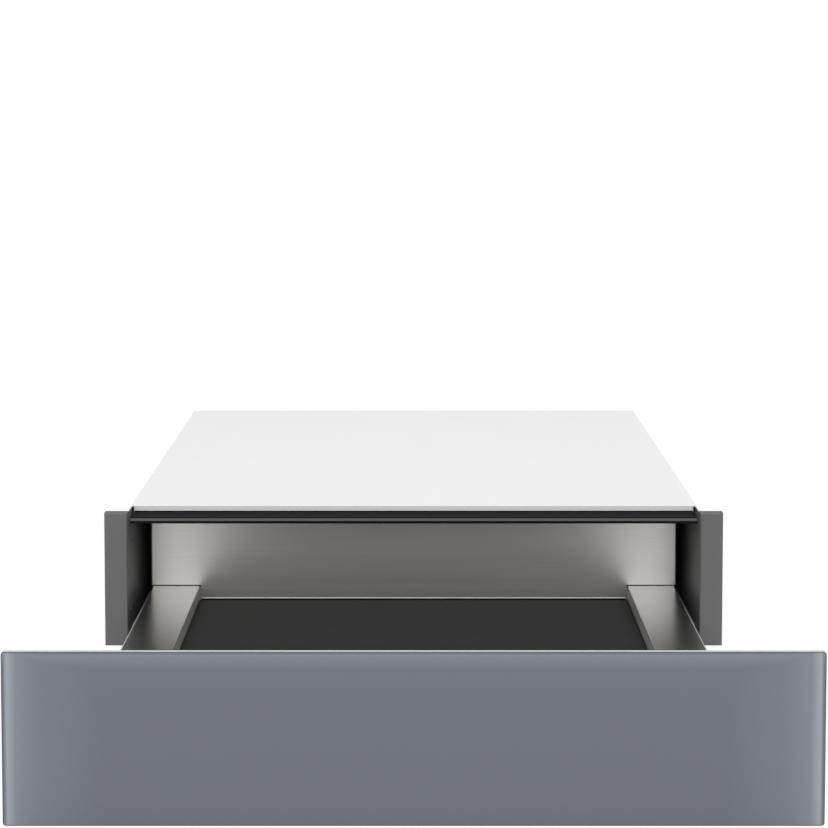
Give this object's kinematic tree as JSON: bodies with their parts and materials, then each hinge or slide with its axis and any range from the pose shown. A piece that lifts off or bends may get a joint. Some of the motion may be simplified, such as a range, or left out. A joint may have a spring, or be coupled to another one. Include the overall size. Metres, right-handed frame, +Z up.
{
  "type": "built-in storage drawer",
  "caption": "Built-in storage drawer: flanged steel casing, glass-fronted drawer box on telescopic ball slides, anti-slip mat and push-to-open latch.",
  "frame": {"origin": "middle of the casing's underside, between its flange plane and its back", "axes": "the front panel faces -Y and the drawer opens towards -Y; +Y runs to the back of the casing; +Z is up; +X is to the right seen from the front"},
  "size_m": [0.597, 0.9427, 0.129],
  "materials": {
    "galvanised_steel": "bright zinc-coated sheet",
    "lid_white": "white stoved enamel",
    "casing_grey": "satin grey paint",
    "rail_black": "satin near-black paint",
    "brushed_stainless": "fine brushed",
    "slide_steel": "zinc plated",
    "ball_steel": "polished",
    "fastener_steel": "zinc plated",
    "mat_rubber": "matt anti-slip",
    "panel_glass": "back-painted, polished edges",
    "bond_tape": "matt",
    "bumper_rubber": "matt",
    "latch_plastic": "moulded",
    "plunger_plastic": "moulded"
  },
  "bodies": {
    "casing": {"casing_base": "galvanised_steel", "casing_side_left": "casing_grey", "casing_side_right": "casing_grey", "casing_back": "galvanised_steel", "casing_top": "lid_white", "top_front_rail": "rail_black", "casing_rivets": "fastener_steel", "stud_nuts": "fastener_steel", "slide_bracket_left": "galvanised_steel", "slide_bracket_right": "galvanised_steel", "slide_outer_left": "slide_steel", "slide_outer_right": "slide_steel", "slide_rivets_fixed": "fastener_steel", "slide_rear_buffers": "latch_plastic", "latch_housing": "latch_plastic", "latch_spring": "fastener_steel"},
    "drawer": {"slide_inner_left": "slide_steel", "slide_inner_right": "slide_steel", "slide_rivets_drawer": "fastener_steel", "drawer_floor": "rail_black", "side_ledge_left": "brushed_stainless", "side_ledge_right": "brushed_stainless", "drawer_back": "brushed_stainless", "drawer_front_wall": "brushed_stainless", "anti_slip_mat": "mat_rubber", "mat_retaining_strip": "brushed_stainless", "front_carrier": "galvanised_steel", "front_fixing_screws": "fastener_steel", "front_bumpers": "bumper_rubber", "glass_bond_strips": "bond_tape", "front_glass": "panel_glass", "latch_striker": "fastener_steel", "striker_rivets": "fastener_steel"},
    "slide_middle_left": {"slide_middle_left": "slide_steel"},
    "slide_middle_right": {"slide_middle_right": "slide_steel"},
    "ball_cage_outer_left": {"ball_cage_outer_left": "ball_steel"},
    "ball_cage_outer_right": {"ball_cage_outer_right": "ball_steel"},
    "ball_cage_inner_left": {"ball_cage_inner_left": "ball_steel"},
    "ball_cage_inner_right": {"ball_cage_inner_right": "ball_steel"},
    "latch_plunger": {"latch_plunger": "plunger_plastic"}
  },
  "joints": [
    {"name": "drawer_slide", "type": "slide", "parent": "casing", "child": "drawer", "axis": [0, -1, 0], "range_m": [-0.392, 0]},
    {"name": "middle_slide_left", "type": "slide", "parent": "casing", "child": "slide_middle_left", "axis": [0, -1, 0], "range_m": [-0.196, 0]},
    {"name": "middle_slide_right", "type": "slide", "parent": "casing", "child": "slide_middle_right", "axis": [0, -1, 0], "range_m": [-0.196, 0]},
    {"name": "outer_cage_roll_left", "type": "slide", "parent": "casing", "child": "ball_cage_outer_left", "axis": [0, -1, 0], "range_m": [-0.098, 0]},
    {"name": "outer_cage_roll_right", "type": "slide", "parent": "casing", "child": "ball_cage_outer_right", "axis": [0, -1, 0], "range_m": [-0.098, 0]},
    {"name": "inner_cage_roll_left", "type": "slide", "parent": "casing", "child": "ball_cage_inner_left", "axis": [0, -1, 0], "range_m": [-0.294, 0]},
    {"name": "inner_cage_roll_right", "type": "slide", "parent": "casing", "child": "ball_cage_inner_right", "axis": [0, -1, 0], "range_m": [-0.294, 0]},
    {"name": "latch_plunger_slide", "type": "slide", "parent": "casing", "child": "latch_plunger", "axis": [0, -1, 0], "range_m": [-0.025, 0], "deforming": ["latch_spring"]}
  ],
  "couplings": [
    {"joint": "middle_slide_left", "follows": "drawer_slide", "ratio": 0.5},
    {"joint": "middle_slide_right", "follows": "drawer_slide", "ratio": 0.5},
    {"joint": "outer_cage_roll_left", "follows": "drawer_slide", "ratio": 0.25},
    {"joint": "outer_cage_roll_right", "follows": "drawer_slide", "ratio": 0.25},
    {"joint": "inner_cage_roll_left", "follows": "drawer_slide", "ratio": 0.75},
    {"joint": "inner_cage_roll_right", "follows": "drawer_slide", "ratio": 0.75},
    {"joint": "latch_plunger_slide", "follows": "drawer_slide", "ratio": 0.063775}
  ]
}
